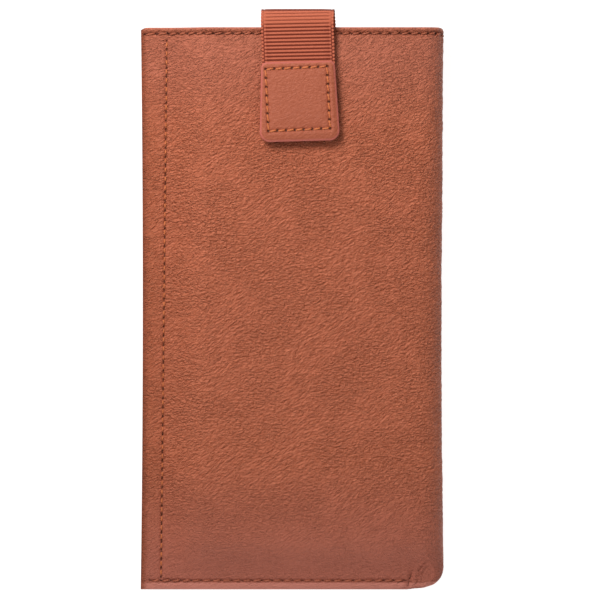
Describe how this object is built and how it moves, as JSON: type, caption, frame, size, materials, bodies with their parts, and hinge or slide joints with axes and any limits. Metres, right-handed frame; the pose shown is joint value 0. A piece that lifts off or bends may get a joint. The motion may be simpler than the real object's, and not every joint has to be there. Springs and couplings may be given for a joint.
{
  "type": "leather phone sleeve",
  "caption": "Slim sewn leather phone sleeve with a folded right edge, a ribbed pull-up ribbon that loops over the mouth and a stitched leather pull tab.",
  "frame": {"origin": "middle of the sleeve's flat back face, on the surface it lies on", "axes": "+X across the width, towards the folded edge; +Y along the length, towards the mouth; +Z out of the front panel"},
  "size_m": [0.0903, 0.1719, 0.018],
  "materials": {
    "outer_leather": "full-grain terracotta leather, fine wavy grain, satin",
    "facing_leather": "thin terracotta leather, matt",
    "tab_leather": "smooth pressed terracotta leather with painted edges",
    "lining": "brushed microfibre",
    "stiffener": "bonded fibre board",
    "ribbon": "ribbed grosgrain, woven edges",
    "thread": "twisted polyester thread, slight sheen"
  },
  "bodies": {
    "pouch": {"outer_leather": "outer_leather", "lining": "lining", "front_stiffener": "stiffener", "back_stiffener": "stiffener", "mouth_facing": "facing_leather", "mouth_needle_thread": "thread", "mouth_bobbin_thread": "thread", "side_needle_thread": "thread", "side_bobbin_thread": "thread", "foot_needle_thread": "thread", "foot_bobbin_thread": "thread", "pull_ribbon_back_run": "ribbon", "anchor_needle_thread": "thread", "anchor_bobbin_thread": "thread"},
    "cradle": {"pull_ribbon_cradle": "ribbon"},
    "strap": {"pull_ribbon_front_run": "ribbon", "pull_ribbon_loop": "ribbon"},
    "tab": {"pull_ribbon_tail": "ribbon", "tab_back_leather": "tab_leather", "tab_front_leather": "tab_leather", "tab_needle_thread": "thread", "tab_bobbin_thread": "thread"}
  },
  "joints": [
    {"name": "cradle_rise", "type": "slide", "parent": "pouch", "child": "cradle", "axis": [0, 1, 0], "range_m": [0, 0.035], "deforming": ["pull_ribbon_back_run"]},
    {"name": "strap_pull", "type": "slide", "parent": "cradle", "child": "strap", "axis": [0, 1, 0], "range_m": [0, 0.035], "deforming": ["pull_ribbon_front_run"]},
    {"name": "tab_flip", "type": "hinge", "parent": "strap", "child": "tab", "pos_m": [0.0014, 0.08835, 0.01377], "axis": [-1, 0, 0], "range_deg": [0, 170], "deforming": ["pull_ribbon_loop"]}
  ],
  "couplings": [
    {"joint": "strap_pull", "follows": "cradle_rise", "ratio": 1}
  ]
}
